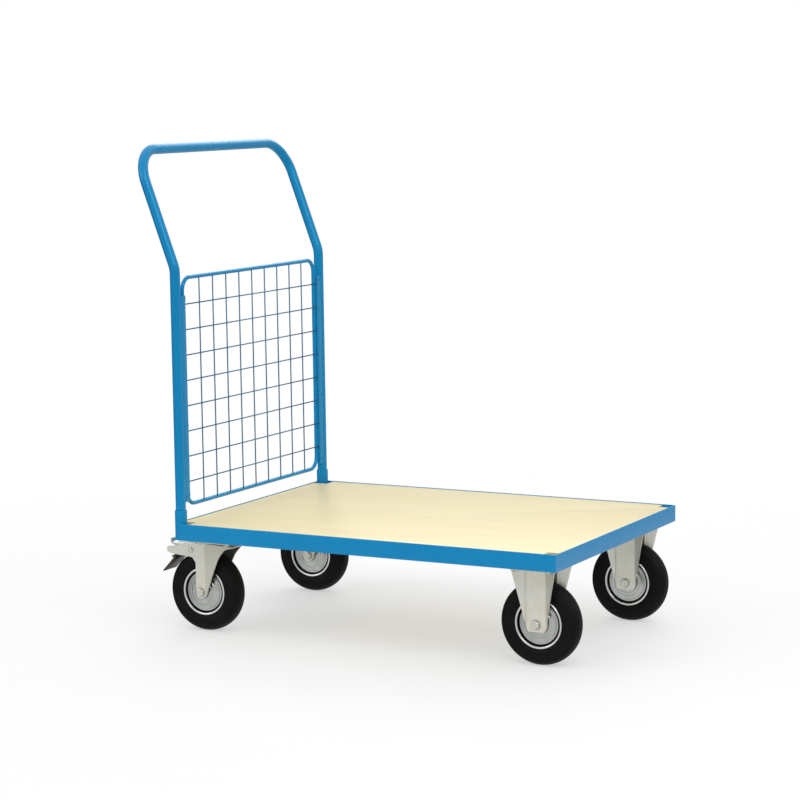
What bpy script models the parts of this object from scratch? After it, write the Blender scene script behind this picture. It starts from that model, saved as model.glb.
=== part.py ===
"""Platform trolley: board deck in a painted steel rim, mesh end with a push handle, two fixed and two braked
swivel castors.  Metres, +Z up.  +X runs from the handle end to the free end, +Y to the far side.
The origin is on the floor, midway along the overall length and on the centre plane."""

import math

import bmesh
import bpy
from mathutils import Matrix, Vector

MM = 0.001
GAP = 0.3 * MM                 # clearance left between touching pieces

# Platform
DECK_MIDDLE = 42.25 * MM       # middle of the deck along +X, so that the overall length is centred
DECK_L = 1026 * MM             # over the end rails
DECK_W = 730 * MM              # over the side rails
DECK_TOP = 281 * MM            # board surface above the floor
RIM_H = 41 * MM
RAIL_T = 2.5 * MM
LEDGE_W = 22 * MM
BOARD_T = 15 * MM
NOTCH_FREE = 30 * MM           # square notch in the board at the free-end corners
NOTCH_SOCKET = 38 * MM         # and around the sockets
CROSS_W = 104 * MM             # cross member over the castors

# Sockets, push handle and mesh end
SOCKET_R = 15 * MM
SOCKET_UP = 32 * MM            # socket standing above the board
TUBE_R = 12.5 * MM
TUBE_WALL = 2 * MM
KINK_Z = 904 * MM              # corner point of the lower bend
KINK_BEND_R = 70 * MM
TOP_Z = 1190 * MM              # axis of the grip bar
LEAN_BACK = 106 * MM           # grip bar behind the uprights
TOP_BEND_R = 85 * MM
MESH_BAR_R = 5 * MM
MESH_HALF_W = 320 * MM         # bar axis to the centre plane
MESH_BOTTOM_Z = 322 * MM
MESH_TOP_Z = 880 * MM
MESH_BEND_R = 32 * MM
WIRE_R = 1.6 * MM
WIRE_PITCH = 62.3 * MM
WIRES_UP = 9                   # upright wires
WIRES_ACROSS = 8
WIRE_FIRST_Z = 380 * MM
STRIP_T = 3 * MM
STRIP_W = 20 * MM
STRIP_Z0, STRIP_Z1 = 332 * MM, 838 * MM

# Castors
FIXED_X = 432 * MM             # plate centres from the middle of the deck
SWIVEL_X = -430 * MM
CASTOR_Y = 265 * MM
TRAIL = 48 * MM                # swivel axis to wheel axle
MOUNT_L, MOUNT_W, MOUNT_T = 110 * MM, 140 * MM, 4.4 * MM
PLATE_L, PLATE_W, PLATE_T = 105 * MM, 135 * MM, 4 * MM
WHEEL_R = 100 * MM
TYRE_HALF_W = 24 * MM
BEAD_R = 60 * MM               # bright edge of the rim
HUB_R = 15 * MM
HUB_HALF = 29.9 * MM
AXLE_R = 6 * MM
LEG_OUT = 34 * MM              # outer face of a fork leg from the wheel plane
LEG_T = 3.5 * MM
WEB_T = 4 * MM                 # fork sheet across the top
FIXED_CREASE, FIXED_FLARE = 24 * MM, 0.55      # legs flare outward beyond the crease: rise in Y for each X
SWIVEL_CREASE, SWIVEL_FLARE = 14 * MM, 0.19
PIN_R = 6 * MM
BRAKE_PIVOT = (-27 * MM, 104 * MM)   # from the wheel axle
PEDAL_HALF_W = 28 * MM
RIVET_R = 4 * MM
RACE_H = 7.4 * MM
THROUGH = 200 * MM             # reach of a cutter past its piece
RAIL_LAP = 8.7 * MM            # rail end from the socket's axis, before it is cut to fit

RIM_BOTTOM = DECK_TOP - RIM_H
MOUNT_TOP = RIM_BOTTOM - GAP
MOUNT_BOTTOM = MOUNT_TOP - MOUNT_T
PLATE_TOP = MOUNT_BOTTOM - GAP
PLATE_BOTTOM = PLATE_TOP - PLATE_T
SOCKET_X = -DECK_L / 2 + SOCKET_R
SOCKET_Y = DECK_W / 2 - SOCKET_R
SIDES = (("near", -1), ("far", 1))


def clear_scene():
    for ob in list(bpy.data.objects):
        bpy.data.objects.remove(ob, do_unlink=True)


def make_material(name, colour, metallic, roughness):
    mat = bpy.data.materials.new(name)
    mat.use_nodes = True
    shader = mat.node_tree.nodes["Principled BSDF"]
    shader.inputs["Base Color"].default_value = (*colour, 1)
    shader.inputs["Metallic"].default_value = metallic
    shader.inputs["Roughness"].default_value = roughness
    return mat


PALETTE = {
    "blue_paint": ((0.012, 0.22, 0.52), 0.0, 0.38),
    "beech_laminate": ((0.83, 0.72, 0.50), 0.0, 0.45),
    "zinc_plate": ((0.62, 0.62, 0.57), 0.9, 0.36),
    "bright_zinc": ((0.78, 0.79, 0.78), 1.0, 0.22),
    "black_rubber": ((0.018, 0.018, 0.02), 0.0, 0.6),
    "dark_steel": ((0.09, 0.08, 0.07), 0.6, 0.45),
    "brake_rubber": ((0.03, 0.03, 0.03), 0.0, 0.7),
}


def add_object(name, bm, palette, location=(0, 0, 0), smooth=None):
    """One named object with its own material, placed from the middle of the deck.  Edges flatter than
    `smooth` degrees are shaded round."""
    bmesh.ops.recalc_face_normals(bm, faces=bm.faces)
    mesh = bpy.data.meshes.new(name)
    bm.to_mesh(mesh)
    bm.free()
    ob = bpy.data.objects.new(name, mesh)
    bpy.context.collection.objects.link(ob)
    ob.location = Vector(location) + Vector((DECK_MIDDLE, 0, 0))
    if palette:
        colour, metallic, roughness = PALETTE[palette]
        mesh.materials.append(make_material(name, colour, metallic, roughness))
    if smooth:
        shade_round(ob, smooth)
    return ob


def shade_round(ob, degrees):
    mesh = ob.data
    for poly in mesh.polygons:
        poly.use_smooth = True
    mesh.set_sharp_from_angle(angle=math.radians(degrees))


def boolean(target, tool, operation="DIFFERENCE"):
    mod = target.modifiers.new(tool.name, "BOOLEAN")
    mod.operation = operation
    mod.solver = "EXACT"
    mod.object = tool
    tool.hide_render = True
    tool.display_type = "WIRE"
    return mod


def bevel(ob, width, segments=2, angle=35):
    mod = ob.modifiers.new("edge_bevel", "BEVEL")
    mod.width = width
    mod.segments = segments
    mod.limit_method = "ANGLE"
    mod.angle_limit = math.radians(angle)
    return mod


def prism(points, axis, low, high):
    """Closed prism: `points` are pairs in the plane across `axis`, in the order (x, y), (x, z) or (y, z)."""
    place = {
        "Z": lambda p, t: (p[0], p[1], t),
        "Y": lambda p, t: (p[0], t, p[1]),
        "X": lambda p, t: (t, p[0], p[1]),
    }[axis]
    bm = bmesh.new()
    a = [bm.verts.new(place(p, low)) for p in points]
    b = [bm.verts.new(place(p, high)) for p in points]
    n = len(points)
    bm.faces.new(a)
    bm.faces.new(b)
    for i in range(n):
        j = (i + 1) % n
        bm.faces.new((a[i], a[j], b[j], b[i]))
    return bm


def box(x0, x1, y0, y1, z0, z1):
    return prism(((x0, y0), (x1, y0), (x1, y1), (x0, y1)), "Z", z0, z1)


def loft(rings, closed=False):
    """Skin rings of equal length; open lofts get flat ends."""
    bm = bmesh.new()
    rows = [[bm.verts.new(v) for v in ring] for ring in rings]
    n = len(rows[0])
    pairs = list(zip(rows, rows[1:]))
    if closed:
        pairs.append((rows[-1], rows[0]))
    else:
        bm.faces.new(rows[0])
        bm.faces.new(rows[-1])
    for a, b in pairs:
        for i in range(n):
            j = (i + 1) % n
            bm.faces.new((a[i], a[j], b[j], b[i]))
    return bm


def ring_y(radius, y, count, sides=0):
    """Ring about the Y axis; with `sides` it is a polygon whose flats are `radius` from the axis."""
    out = []
    for k in range(count):
        a = 2 * math.pi * k / count
        r = radius
        if sides:
            step = 2 * math.pi / sides
            r = radius / math.cos((a + step / 2) % step - step / 2)
        out.append((r * math.cos(a), y, r * math.sin(a)))
    return out


def ring_z(radius, z, count, sides=0):
    return [(x, y2, z) for x, _, y2 in ring_y(radius, 0, count, sides)]


def arc(centre, radius, start, end, steps):
    out = []
    for k in range(steps + 1):
        a = math.radians(start + (end - start) * k / steps)
        out.append((centre[0] + radius * math.cos(a), centre[1] + radius * math.sin(a)))
    return out


def rounded_path(corners, radii, steps):
    """Polyline through `corners`, with each inner corner replaced by an arc."""
    pts = [Vector(corners[0])]
    for i in range(1, len(corners) - 1):
        pts += fillet(corners[i - 1], corners[i], corners[i + 1], radii[i - 1], steps)
    pts.append(Vector(corners[-1]))
    return pts


def fillet(before, corner, after, radius, steps):
    c = Vector(corner)
    u = (Vector(before) - c).normalized()
    v = (Vector(after) - c).normalized()
    half = u.angle(v) / 2
    reach = radius / math.tan(half)
    middle = c + (u + v).normalized() * (radius / math.sin(half))
    a = c + u * reach - middle
    axis = a.cross(c + v * reach - middle).normalized()
    sweep = math.pi - 2 * half
    return [middle + Matrix.Rotation(sweep * k / steps, 3, axis) @ a for k in range(steps + 1)]


def path_frames(path, closed):
    """A cross-section frame at each point, carried along without twist."""
    n = len(path)
    tangents = []
    for i in range(n):
        before = path[i - 1] if (i or closed) else path[i]
        after = path[(i + 1) % n] if (i < n - 1 or closed) else path[i]
        a = (path[i] - before).normalized() if before != path[i] else Vector()
        b = (after - path[i]).normalized() if after != path[i] else Vector()
        tangents.append((a + b).normalized())
    side = tangents[0].orthogonal().normalized()
    frames = []
    for t in tangents:
        side = (side - t * side.dot(t)).normalized()
        frames.append((side, t.cross(side)))
    return frames


def swept_rings(path, radius, count, closed=False):
    rings = []
    for p, (u, v) in zip(path, path_frames(path, closed)):
        ring = []
        for k in range(count):
            a = 2 * math.pi * k / count
            ring.append(p + (u * math.cos(a) + v * math.sin(a)) * radius)
        rings.append(ring)
    return rings


# Deck and rim ----------------------------------------------------------------------------------


def rail_section():
    """(distance inward from the outer face, height) round a rail: web with a ledge under the board."""
    ledge_top = DECK_TOP - BOARD_T - GAP
    return (
        (0, RIM_BOTTOM),
        (RAIL_T, RIM_BOTTOM),
        (RAIL_T, ledge_top - RAIL_T),
        (LEDGE_W, ledge_top - RAIL_T),
        (LEDGE_W, ledge_top),
        (RAIL_T, ledge_top),
        (RAIL_T, DECK_TOP),
        (0, DECK_TOP),
    )


def side_rail(name, side):
    """Mitred at the free end, butted against the socket at the handle end."""
    start = SOCKET_X + RAIL_LAP
    half_w = side * DECK_W / 2
    ends = [[], []]
    for inward, z in rail_section():
        y = half_w - side * inward
        ends[0].append((start, y, z))
        ends[1].append((DECK_L / 2 - inward - GAP * 0.7, y, z))
    rail = add_object(name, loft(ends), "blue_paint")
    socket_clearance(rail, side)
    return rail


def free_end_rail():
    ends = [[], []]
    for inward, z in rail_section():
        for k, side in enumerate((-1, 1)):
            y = side * (DECK_W / 2 - inward - GAP * 0.7)
            ends[k].append((DECK_L / 2 - inward, y, z))
    add_object("frame_rail_free_end", loft(ends), "blue_paint")


def handle_end_rail():
    ends = [[], []]
    for inward, z in rail_section():
        for k, side in enumerate((-1, 1)):
            ends[k].append((-DECK_L / 2 + inward, side * (SOCKET_Y - RAIL_LAP), z))
    rail = add_object("frame_rail_handle_end", loft(ends), "blue_paint")
    for side in (-1, 1):
        socket_clearance(rail, side)


def socket_clearance(rail, side):
    rings = [ring_z(SOCKET_R + GAP, z, 32) for z in (RIM_BOTTOM - 0.01, DECK_TOP + 0.01)]
    tool = add_object(f"{rail.name}_cut_{side}", loft(rings), None, (SOCKET_X, side * SOCKET_Y, 0))
    boolean(rail, tool)


def deck_board():
    clear = RAIL_T + GAP
    x, y = DECK_L / 2 - clear, DECK_W / 2 - clear
    a, b = NOTCH_FREE, NOTCH_SOCKET
    outline = (
        (-x + b, -y), (x - a, -y), (x - a, -y + a), (x, -y + a),
        (x, y - a), (x - a, y - a), (x - a, y), (-x + b, y),
        (-x + b, y - b), (-x, y - b), (-x, -y + b), (-x + b, -y + b),
    )
    board = add_object("deck_board", prism(outline, "Z", DECK_TOP - BOARD_T, DECK_TOP), "beech_laminate")
    bevel(board, 0.8 * MM, 1)


def cross_member(name, x):
    """Down-turned channel between the side rails, over a pair of castors."""
    half, wall = CROSS_W / 2, 2.4 * MM
    top = DECK_TOP - BOARD_T - 2 * GAP - RAIL_T
    section = (
        (x - half, RIM_BOTTOM), (x - half + wall, RIM_BOTTOM), (x - half + wall, top - wall),
        (x + half - wall, top - wall), (x + half - wall, RIM_BOTTOM), (x + half, RIM_BOTTOM),
        (x + half, top), (x - half, top),
    )
    reach = DECK_W / 2 - RAIL_T - GAP
    add_object(name, prism(section, "Y", -reach, reach), "blue_paint")


def rounded_plate(length, width, radius, low, high, steps=3):
    x, y = length / 2 - radius, width / 2 - radius
    outline = arc((x, y), radius, 0, 90, steps) + arc((-x, y), radius, 90, 180, steps)
    outline += arc((-x, -y), radius, 180, 270, steps) + arc((x, -y), radius, 270, 360, steps)
    return prism(outline, "Z", low, high)


def castor_mounts():
    for end, x in (("fixed", FIXED_X), ("swivel", SWIVEL_X)):
        for name, side in SIDES:
            bm = rounded_plate(MOUNT_L, MOUNT_W, 8 * MM, MOUNT_BOTTOM, MOUNT_TOP)
            add_object(f"castor_mount_{end}_{name}", bm, "blue_paint", (x, side * CASTOR_Y, 0))


def corner_socket(name, side):
    """Tube that closes the corner of the rim and takes an upright."""
    count, bore = 28, TUBE_R + GAP
    top = DECK_TOP + SOCKET_UP
    rings = [ring_z(SOCKET_R, RIM_BOTTOM, count), ring_z(SOCKET_R, top - 1 * MM, count)]
    rings += [ring_z(SOCKET_R - 1 * MM, top, count), ring_z(bore, top, count)]
    rings.append(ring_z(bore, RIM_BOTTOM, count))
    add_object(name, loft(rings, closed=True), "blue_paint", (SOCKET_X, side * SOCKET_Y, 0), smooth=50)


# Push handle and mesh end ----------------------------------------------------------------------


def push_handle():
    """One bent tube: up from a socket, back at the kink, across at the top and down the other side."""
    foot, kink = RIM_BOTTOM + 6 * MM, KINK_Z
    back = SOCKET_X - LEAN_BACK
    corners = (
        (SOCKET_X, -SOCKET_Y, foot), (SOCKET_X, -SOCKET_Y, kink), (back, -SOCKET_Y, TOP_Z),
        (back, SOCKET_Y, TOP_Z), (SOCKET_X, SOCKET_Y, kink), (SOCKET_X, SOCKET_Y, foot),
    )
    path = rounded_path(corners, (KINK_BEND_R, TOP_BEND_R, TOP_BEND_R, KINK_BEND_R), 6)
    outer = swept_rings(path, TUBE_R, 16)
    inner = swept_rings(path, TUBE_R - TUBE_WALL, 16)
    add_object("push_handle", loft(outer + inner[::-1], closed=True), "blue_paint", smooth=50)


def mesh_frame():
    y, z0, z1, r = MESH_HALF_W, MESH_BOTTOM_Z, MESH_TOP_Z, MESH_BEND_R
    path = []
    corners = ((y - r, z1 - r, 0), (-y + r, z1 - r, 90), (-y + r, z0 + r, 180), (y - r, z0 + r, 270))
    for cy, cz, start in corners:
        path += [Vector((SOCKET_X, p, q)) for p, q in arc((cy, cz), r, start, start + 90, 5)]
    bar = loft(swept_rings(path, MESH_BAR_R, 12, closed=True), closed=True)
    add_object("mesh_frame", bar, "blue_paint", smooth=60)


def wire(a, b, count=6):
    return swept_rings([Vector(a), Vector(b)], WIRE_R, count)


def join_lofts(parts):
    bm = bmesh.new()
    for rings in parts:
        rows = [[bm.verts.new(v) for v in ring] for ring in rings]
        n = len(rows[0])
        bm.faces.new(rows[0])
        bm.faces.new(rows[-1])
        for a, b in zip(rows, rows[1:]):
            for i in range(n):
                j = (i + 1) % n
                bm.faces.new((a[i], a[j], b[j], b[i]))
    return bm


def mesh_wires():
    """Upright wires inside the frame, welded to cross wires that pass in front of its sides."""
    cross_x = SOCKET_X + MESH_BAR_R + GAP + WIRE_R
    up_x = cross_x - 1.6 * WIRE_R
    low, high = MESH_BOTTOM_Z + MESH_BAR_R + GAP, MESH_TOP_Z - MESH_BAR_R - GAP
    ups = []
    for k in range(WIRES_UP):
        y = (k - (WIRES_UP - 1) / 2) * WIRE_PITCH
        ups.append(wire((up_x, y, low), (up_x, y, high)))
    across = []
    reach = MESH_HALF_W + 1 * MM
    for k in range(WIRES_ACROSS):
        z = WIRE_FIRST_Z + k * WIRE_PITCH
        across.append(wire((cross_x, -reach, z), (cross_x, reach, z)))
    grid = add_object("mesh_wires", join_lofts(ups), "blue_paint")
    tool = add_object("mesh_wires_across", join_lofts(across), None)
    boolean(grid, tool, "UNION")


def mesh_strip(name, side):
    """Flat strip that ties the mesh frame to an upright, on the deck side."""
    x0 = SOCKET_X + MESH_BAR_R + 2.4 * MM
    y0 = MESH_HALF_W + 2 * MM
    ys = sorted((side * y0, side * (y0 + STRIP_W)))
    strip = add_object(name, box(x0, x0 + STRIP_T, *ys, STRIP_Z0, STRIP_Z1), "blue_paint")
    rings = [ring_z(TUBE_R + GAP, z, 24) for z in (STRIP_Z0 - 0.01, STRIP_Z1 + 0.01)]
    tool = add_object(f"{name}_cut", loft(rings), None, (SOCKET_X, side * SOCKET_Y, 0))
    boolean(strip, tool)


# Wheels ----------------------------------------------------------------------------------------


def revolve_y(profile, count):
    """`profile` is a closed loop of (radius, y)."""
    return loft([ring_y(r, y, count) for r, y in profile], closed=True)


def tyre(name, at):
    w, r = TYRE_HALF_W, WHEEL_R
    half = [(56.3 * MM, 17.2 * MM), (61 * MM, 20 * MM), (74 * MM, w), (86 * MM, w - 0.4 * MM)]
    half += [(96 * MM, 17 * MM), (r, 7 * MM)]
    profile = half + [(a, -b) for a, b in reversed(half)]
    add_object(name, revolve_y(profile, 32), "black_rubber", at, smooth=50)


def rim(name, at):
    """Two pressed discs and the barrel between them, open at the hub."""
    bore = HUB_R + GAP
    inner = [(53.9 * MM, 8.6 * MM), (49.8 * MM, 8.6 * MM), (46.8 * MM, 14.6 * MM), (bore, 20.8 * MM)]
    outer = [(bore, 23.5 * MM), (48.6 * MM, 17.2 * MM), (50.2 * MM, 11 * MM), (53.2 * MM, 11 * MM)]
    outer += [(55.4 * MM, 21.8 * MM), (BEAD_R, 20.5 * MM), (56 * MM, 18 * MM)]
    half = inner + outer
    profile = half + [(r, -y) for r, y in reversed(half)]
    add_object(name, revolve_y(profile, 24), "bright_zinc", at, smooth=40)


def hub(name, at):
    bore = AXLE_R + GAP
    profile = [(bore, HUB_HALF), (HUB_R - 2 * MM, HUB_HALF), (HUB_R, HUB_HALF - 3 * MM)]
    profile += [(HUB_R, -HUB_HALF + 3 * MM), (HUB_R - 2 * MM, -HUB_HALF), (bore, -HUB_HALF)]
    add_object(name, revolve_y(profile, 16), "zinc_plate", at, smooth=40)


def axle(name, at):
    """Hex bolt through both legs, head on the near side."""
    head, far = LEG_OUT + GAP, LEG_OUT + 11 * MM
    rings = [ring_y(7.4 * MM, -head - 8 * MM, 12), ring_y(9.2 * MM, -head - 6.8 * MM, 12, 6)]
    rings += [ring_y(9.2 * MM, -head, 12, 6), ring_y(AXLE_R, -head, 12)]
    rings += [ring_y(AXLE_R, far, 12), ring_y(AXLE_R - 1 * MM, far + 1 * MM, 12)]
    add_object(name, loft(rings), "bright_zinc", at)


def axle_nut(name, at):
    y0 = LEG_OUT + GAP
    bore = AXLE_R + GAP
    profile = ((bore, y0, 0), (9.2 * MM, y0, 6), (9.2 * MM, y0 + 7 * MM, 6), (7.8 * MM, y0 + 8 * MM, 0))
    rings = [ring_y(r, y, 12, sides) for r, y, sides in profile] + [ring_y(bore, y0 + 8 * MM, 12)]
    add_object(name, loft(rings, closed=True), "bright_zinc", at)


def wheel(prefix, name, at):
    tyre(f"{prefix}_tyre_{name}", at)
    rim(f"{prefix}_rim_{name}", at)
    hub(f"{prefix}_hub_{name}", at)
    axle(f"{prefix}_axle_{name}", at)
    axle_nut(f"{prefix}_nut_{name}", at)


# Forks -----------------------------------------------------------------------------------------


def flared_plan(reach, crease, flare, inset, both_ends):
    """Plan outline of a fork: parallel up to the crease and flaring outward beyond it."""
    side = LEG_OUT - inset
    tip = side + flare * (reach - crease)
    half = [(-reach, tip), (-crease, side)] if both_ends else [(-reach, side)]
    half += [(crease, side), (reach, tip)]
    return half + [(x, -y) for x, y in reversed(half)]


def fork_body(name, at, side_view, crease, flare, both_ends, top):
    """Pressed fork: side outline kept inside a flared plan, then hollowed.  `top` is above the axle."""
    body = add_object(name, prism(side_view, "Y", -THROUGH, THROUGH), "zinc_plate", at)
    plan = flared_plan(0.13, crease, flare, 0, both_ends)
    boolean(body, add_object(f"{name}_plan", prism(plan, "Z", -THROUGH, THROUGH), None, at), "INTERSECT")
    plan = flared_plan(0.15, crease, flare, LEG_T, both_ends)
    boolean(body, add_object(f"{name}_hollow", prism(plan, "Z", -THROUGH, top - WEB_T), None, at))
    bore = loft([ring_y(AXLE_R + GAP, y, 16) for y in (-THROUGH, THROUGH)])
    boolean(body, add_object(f"{name}_bore", bore, None, at))
    return body


def fixed_fork(name, at, top):
    """Symmetrical fork whose web stops short of the flared tips, clear of the plate's fixing holes."""
    side_view = (
        (19 * MM, -17 * MM), (25 * MM, -10 * MM), (27 * MM, 2 * MM), (55 * MM, top),
        (-55 * MM, top), (-27 * MM, 2 * MM), (-25 * MM, -10 * MM), (-19 * MM, -17 * MM),
    )
    body = fork_body(name, at, side_view, FIXED_CREASE, FIXED_FLARE, True, top)
    web_end, half_w = 50 * MM, 44 * MM
    for end, x0, x1 in (("back", -0.1, -web_end), ("front", web_end, 0.1)):
        tool = box(x0, x1, -half_w, half_w, top - 0.02, top + 0.02)
        boolean(body, add_object(f"{name}_web_trim_{end}", tool, None, at))


def swivel_fork(name, at, top):
    """Leg at the axle, wing sweeping up to the swivel head and an arm reaching back beside the brake."""
    side_view = [
        (106, 1000 * top), (106, 121), (76, 113), (65, 106), (56, 90), (46, 68), (37, 48), (28, 27), (17, 1),
        (13, -9), (6, -15), (-4, -16), (-11, -11), (-14, -3), (-14, 66), (-16, 77), (-22, 84), (-31, 88),
        (-55, 90), (-86, 92.5), (-94, 96.5), (-98, 102.5), (-96, 107.5), (-89, 110.5), (-68, 113),
        (-50, 117), (-40, 1000 * top),
    ]
    side_view = [(x * MM, z * MM) for x, z in side_view]
    body = fork_body(name, at, side_view, SWIVEL_CREASE, SWIVEL_FLARE, False, top)
    slot = box(-0.13, -20 * MM, -LEG_OUT + LEG_T, LEG_OUT - LEG_T, 0.03, 0.2)
    boolean(body, add_object(f"{name}_brake_slot", slot, None, at))
    pin = loft([ring_z(PIN_R + GAP, z, 16) for z in (0.1, 0.15)])
    boolean(body, add_object(f"{name}_pin_bore", pin, None, (at[0] + TRAIL, at[1], at[2])))
    px, pz = BRAKE_PIVOT
    rivet = loft([ring_y(RIVET_R + GAP, y, 12) for y in (-THROUGH, THROUGH)])
    boolean(body, add_object(f"{name}_rivet_bore", rivet, None, (at[0] + px, at[1], at[2] + pz)))
    return body


# Castors ---------------------------------------------------------------------------------------


def fixed_castor(name, side):
    x, y = FIXED_X, side * CASTOR_Y
    at = (x, y, WHEEL_R)
    plate = rounded_plate(PLATE_L, PLATE_W, 10 * MM, PLATE_BOTTOM, PLATE_TOP)
    add_object(f"fixed_plate_{name}", plate, "zinc_plate", (x, y, 0))
    fixed_fork(f"fixed_fork_{name}", at, PLATE_BOTTOM - GAP - WHEEL_R)
    wheel("fixed", name, at)


def swivel_head(name, x, y):
    race_low = PLATE_BOTTOM - GAP - RACE_H
    plate = rounded_plate(PLATE_L, PLATE_W, 10 * MM, PLATE_BOTTOM, PLATE_TOP)
    plate = add_object(f"swivel_plate_{name}", plate, "zinc_plate", (x, y, 0))
    bore = loft([ring_z(PIN_R + GAP, z, 16) for z in (PLATE_BOTTOM - 0.01, PLATE_TOP + 0.01)])
    boolean(plate, add_object(f"swivel_plate_bore_{name}", bore, None, (x, y, 0)))
    z0, z1 = race_low, PLATE_BOTTOM - GAP
    profile = ((15 * MM, z0), (33 * MM, z0), (39 * MM, z0 + 3 * MM), (36 * MM, z1), (15 * MM, z1))
    race = loft([ring_z(r, z, 24) for r, z in profile], closed=True)
    add_object(f"swivel_race_{name}", race, "zinc_plate", (x, y, 0), smooth=40)
    web_top = race_low - GAP
    head_top = web_top - 4 * MM - GAP
    rings = [ring_z(9 * MM, head_top - 6 * MM, 12), ring_z(11 * MM, head_top - 4.5 * MM, 12, 6)]
    rings += [ring_z(11 * MM, head_top, 12, 6), ring_z(PIN_R, head_top, 12)]
    rings.append(ring_z(PIN_R, PLATE_TOP - GAP, 12))
    add_object(f"king_pin_{name}", loft(rings), "zinc_plate", (x, y, 0))
    return web_top


def side_prism(points, half_width):
    """Prism across the wheel plane from (x, z) points in millimetres."""
    return prism([(x * MM, z * MM) for x, z in points], "Y", -half_width, half_width)


def brake(name, at):
    """Lever on a pin through the legs, with a pedal, an upturned release tab and a shoe over the tyre."""
    px, pz = BRAKE_PIVOT
    pivot = (at[0] + px, at[1], at[2] + pz)
    reach = LEG_OUT + GAP
    head = 6.5 * MM
    half = [(RIVET_R, reach), (head, reach), (head, reach + 1 * MM), (5 * MM, reach + 2.5 * MM)]
    rings = [ring_y(r, -y, 12) for r, y in reversed(half)] + [ring_y(r, y, 12) for r, y in half]
    add_object(f"brake_pin_{name}", loft(rings), "bright_zinc", pivot, smooth=40)

    lever = arc((0, 0), 7, -60, 90, 6)
    lever += [(-28, 9.5), (-63, 11.2), (-67, 13.5), (-69, 22.5), (-71.8, 22.2), (-70.2, 11.5)]
    lever += [(-66.5, 8.2), (-54, 4), (-34, -6), (-22, -5.5)]
    lever = add_object(f"brake_lever_{name}", side_prism(lever, 15 * MM), "zinc_plate", pivot)
    bore = loft([ring_y(RIVET_R + GAP, y, 12) for y in (-THROUGH, THROUGH)])
    boolean(lever, add_object(f"brake_lever_bore_{name}", bore, None, pivot))

    pedal = [(-49, 1), (-53.5, -18), (-60.5, -18.5), (-61.2, -20.8), (-55.5, -23.5), (-86.5, -57)]
    pedal += [(-87.5, -60), (-84.5, -60), (-51, -26.5), (-49.2, -20), (-45.8, -3.5), (-35.6, -8.6)]
    pedal.append((-34.8, -6.2))
    pedal = add_object(f"brake_pedal_{name}", side_prism(pedal, PEDAL_HALF_W), "dark_steel", pivot)
    bevel(pedal, 0.4 * MM, 1)

    shoe = [(-23, -6.2), (-33.6, -6.6), (-33.6, -17), (-28, -14.3), (-23, -12.4)]
    shoe = add_object(f"brake_shoe_{name}", side_prism(shoe, 12 * MM), "brake_rubber", pivot)
    bevel(shoe, 0.6 * MM, 1)


def swivel_castor(name, side):
    x, y = SWIVEL_X, side * CASTOR_Y
    web_top = swivel_head(name, x, y)
    at = (x - TRAIL, y, WHEEL_R)
    swivel_fork(f"swivel_fork_{name}", at, web_top - WHEEL_R)
    wheel("swivel", name, at)
    brake(name, at)


def build():
    clear_scene()
    for name, side in SIDES:
        side_rail(f"frame_rail_{name}", side)
        corner_socket(f"corner_socket_{name}", side)
    free_end_rail()
    handle_end_rail()
    cross_member("cross_member_fixed", FIXED_X)
    cross_member("cross_member_swivel", SWIVEL_X)
    castor_mounts()
    deck_board()
    push_handle()
    mesh_frame()
    mesh_wires()
    for name, side in SIDES:
        mesh_strip(f"mesh_strip_{name}", side)
        fixed_castor(name, side)
        swivel_castor(name, side)


build()
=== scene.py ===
import math

import bmesh
import bpy
from mathutils import Matrix, Vector


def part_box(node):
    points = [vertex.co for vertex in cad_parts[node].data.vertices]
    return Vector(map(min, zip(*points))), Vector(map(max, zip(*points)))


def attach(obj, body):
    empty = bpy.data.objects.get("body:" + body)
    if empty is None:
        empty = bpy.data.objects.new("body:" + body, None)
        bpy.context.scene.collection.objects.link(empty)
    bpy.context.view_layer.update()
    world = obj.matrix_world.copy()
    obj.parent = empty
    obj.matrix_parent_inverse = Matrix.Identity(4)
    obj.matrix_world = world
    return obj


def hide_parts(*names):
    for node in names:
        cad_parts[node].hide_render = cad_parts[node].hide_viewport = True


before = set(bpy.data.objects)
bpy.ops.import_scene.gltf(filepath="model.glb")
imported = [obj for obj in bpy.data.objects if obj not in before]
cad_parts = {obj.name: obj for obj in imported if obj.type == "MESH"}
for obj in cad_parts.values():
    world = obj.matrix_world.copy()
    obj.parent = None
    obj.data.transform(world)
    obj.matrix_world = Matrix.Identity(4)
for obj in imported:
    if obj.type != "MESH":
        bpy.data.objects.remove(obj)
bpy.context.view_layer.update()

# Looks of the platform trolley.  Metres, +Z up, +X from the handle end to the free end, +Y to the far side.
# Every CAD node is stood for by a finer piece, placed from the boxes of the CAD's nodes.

MM = 0.001
SIDES = (("near", -1), ("far", 1))

# Rim and board
RIM_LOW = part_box("frame_rail_near")[0].z
DECK_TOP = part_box("deck_board")[1].z
BOARD_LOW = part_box("deck_board")[0].z
X_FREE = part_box("frame_rail_free_end")[1].x
X_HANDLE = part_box("frame_rail_handle_end")[0].x
Y_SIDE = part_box("frame_rail_far")[1].y
RAIL_T = 2.5 * MM
LEDGE_W = 22 * MM
BOARD_GAP = 1.1 * MM           # open line between the board and the rim
BOARD_SUNK = 1.4 * MM          # board surface below the top of the rim
NOTCH_FREE = 30 * MM
NOTCH_SOCKET = 38 * MM

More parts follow.
